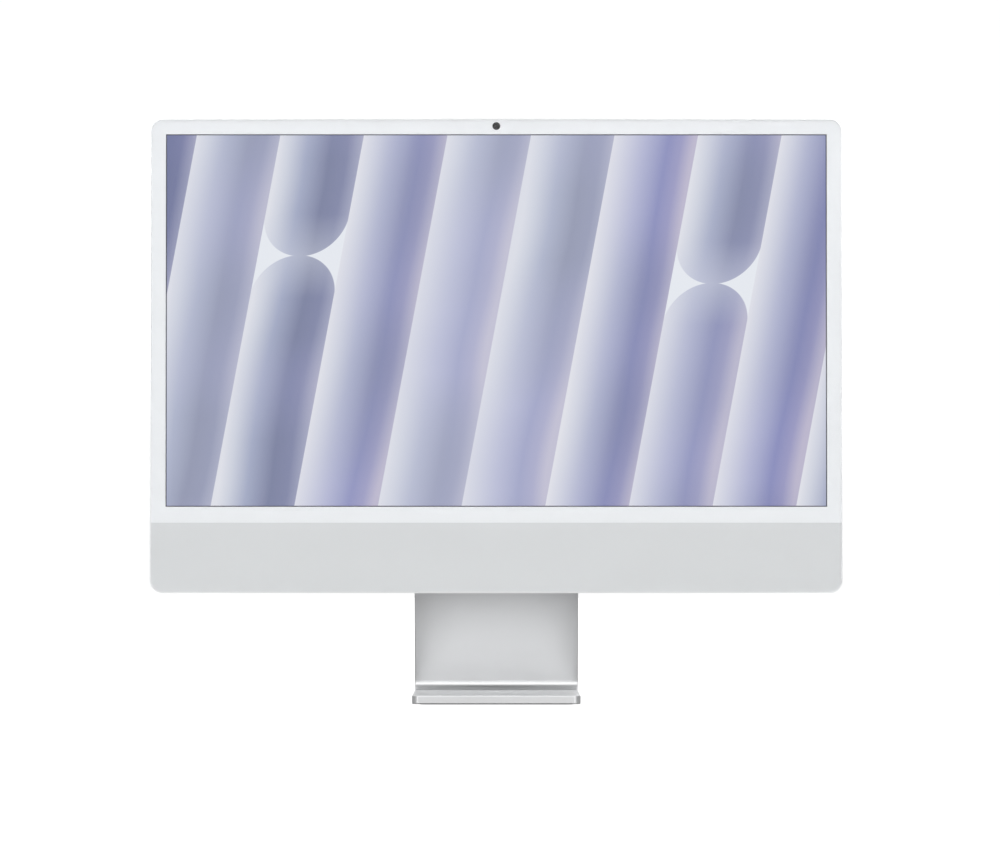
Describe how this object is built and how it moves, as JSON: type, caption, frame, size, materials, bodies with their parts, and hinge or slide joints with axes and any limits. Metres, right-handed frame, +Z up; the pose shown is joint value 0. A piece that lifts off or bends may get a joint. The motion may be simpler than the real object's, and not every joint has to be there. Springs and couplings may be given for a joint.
{
  "type": "all in one pc",
  "caption": "Thin all-in-one desktop computer: glass-fronted slim case with the works in the chin under the screen, tilting on a bent metal blade stand.",
  "frame": {"origin": "middle of the outline of the foot, on the surface that the foot pad rests on", "axes": "+X to the right of someone who faces the screen, +Z up; the screen faces -Y"},
  "size_m": [0.547, 0.147, 0.461],
  "materials": {
    "blade_aluminium": "fine blasted and anodised, silver",
    "pad_rubber": "matt grey silicone",
    "hinge_steel": "machined",
    "screw_steel": "zinc plated",
    "window_plastic": "polished",
    "clear_glass": "polished, with a fine edge chamfer",
    "white_ink": "white ink behind glass",
    "grey_ink": "pale grey ink behind glass",
    "foam_tape": "closed-cell foam",
    "lit_panel": "liquid crystal cell showing a soft blue and lavender picture",
    "optical_film": "diffusing film",
    "clear_acrylic": "polished acrylic",
    "lamp_strip": "white strip with lamps",
    "tray_steel": "pressed sheet",
    "circuit_board": "dark solder mask",
    "shield_aluminium": "pressed sheet",
    "black_plastic": "fine texture",
    "lens_glass": "coated",
    "flex_film": "amber film",
    "chip_resin": "moulded resin",
    "can_steel": "tinned sheet",
    "copper": null,
    "fin_aluminium": "plain sheet",
    "supply_parts": "ferrite coils and capped cans",
    "cell_steel": "plain",
    "port_steel": "drawn shell",
    "inlet_plastic": "satin",
    "contact_gold": "gold plated",
    "magnet": "nickel plated",
    "surround_rubber": "matt",
    "cone_aluminium": "thin stiff sheet",
    "lead_jacket": "thin jacket"
  },
  "bodies": {
    "stand": {"stand_blade": "blade_aluminium", "foot_pad": "pad_rubber", "neck_hinge_leaf": "hinge_steel", "neck_leaf_screws": "screw_steel", "friction_clips": "hinge_steel"},
    "display": {"aerial_window": "window_plastic", "aerials": "copper", "backlight_tray": "tray_steel", "bezel_mask": "white_ink", "button_switch": "circuit_board", "camera_board": "circuit_board", "camera_lens": "lens_glass", "camera_module": "black_plastic", "case_hinge_plate": "hinge_steel", "case_screws": "screw_steel", "chin_mask": "grey_ink", "clock_cell": "cell_steel", "clock_cell_holder": "black_plastic", "cover_glass": "clear_glass", "data_ports": "port_steel", "diffuser_sheets": "optical_film", "display_cell": "lit_panel", "fan_housing_left": "black_plastic", "fan_housing_right": "black_plastic", "fin_stacks": "fin_aluminium", "flex_leads": "flex_film", "glass_adhesive": "foam_tape", "headphone_jack": "black_plastic", "heat_pipe": "copper", "heat_spreader": "copper", "hinge_pin": "hinge_steel", "inlet_contacts": "contact_gold", "inner_leads": "lead_jacket", "light_guide": "clear_acrylic", "light_strip": "lamp_strip", "logic_board": "circuit_board", "memory_chips": "chip_resin", "microphones": "can_steel", "port_tongues": "black_plastic", "power_board": "circuit_board", "power_inlet": "inlet_plastic", "power_parts": "supply_parts", "processor": "chip_resin", "radio_can": "can_steel", "rear_case": "blade_aluminium", "shield_plates": "shield_aluminium", "speaker_box_left": "black_plastic", "speaker_box_right": "black_plastic", "speaker_magnets": "magnet", "timing_board": "circuit_board", "tweeters": "black_plastic", "woofer_surrounds": "surround_rubber"},
    "power_button": {"power_button": "blade_aluminium"},
    "fan_left": {"fan_wheel_left": "black_plastic"},
    "fan_right": {"fan_wheel_right": "black_plastic"},
    "woofer_front_left": {"woofer_front_left": "cone_aluminium"},
    "woofer_rear_left": {"woofer_rear_left": "cone_aluminium"},
    "woofer_front_right": {"woofer_front_right": "cone_aluminium"},
    "woofer_rear_right": {"woofer_rear_right": "cone_aluminium"}
  },
  "joints": [
    {"name": "display_tilt", "type": "hinge", "parent": "stand", "child": "display", "pos_m": [0, -0.0173, 0.271], "axis": [-1, 0, 0], "range_deg": [-5, 20]},
    {"name": "power_button_press", "type": "slide", "parent": "display", "child": "power_button", "axis": [0, -1, 0], "range_m": [0, 0.0005], "stiffness_N_per_m": 1500},
    {"name": "fan_left_spin", "type": "hinge", "parent": "display", "child": "fan_left", "pos_m": [-0.04047, -0.0181, 0.12458], "axis": [0, 1, 0], "continuous": true},
    {"name": "fan_right_spin", "type": "hinge", "parent": "display", "child": "fan_right", "pos_m": [0.04047, -0.0181, 0.12458], "axis": [0, 1, 0], "continuous": true},
    {"name": "woofer_front_left_travel", "type": "slide", "parent": "display", "child": "woofer_front_left", "axis": [0, -1, 0], "range_m": [-0.0004, 0.0004], "stiffness_N_per_m": 1200},
    {"name": "woofer_rear_left_travel", "type": "slide", "parent": "display", "child": "woofer_rear_left", "axis": [0, 1, 0], "range_m": [-0.0004, 0.0004], "stiffness_N_per_m": 1200},
    {"name": "woofer_front_right_travel", "type": "slide", "parent": "display", "child": "woofer_front_right", "axis": [0, -1, 0], "range_m": [-0.0004, 0.0004], "stiffness_N_per_m": 1200},
    {"name": "woofer_rear_right_travel", "type": "slide", "parent": "display", "child": "woofer_rear_right", "axis": [0, 1, 0], "range_m": [-0.0004, 0.0004], "stiffness_N_per_m": 1200}
  ],
  "couplings": [
    {"joint": "woofer_rear_left_travel", "follows": "woofer_front_left_travel", "ratio": 1},
    {"joint": "woofer_rear_right_travel", "follows": "woofer_front_right_travel", "ratio": 1}
  ]
}
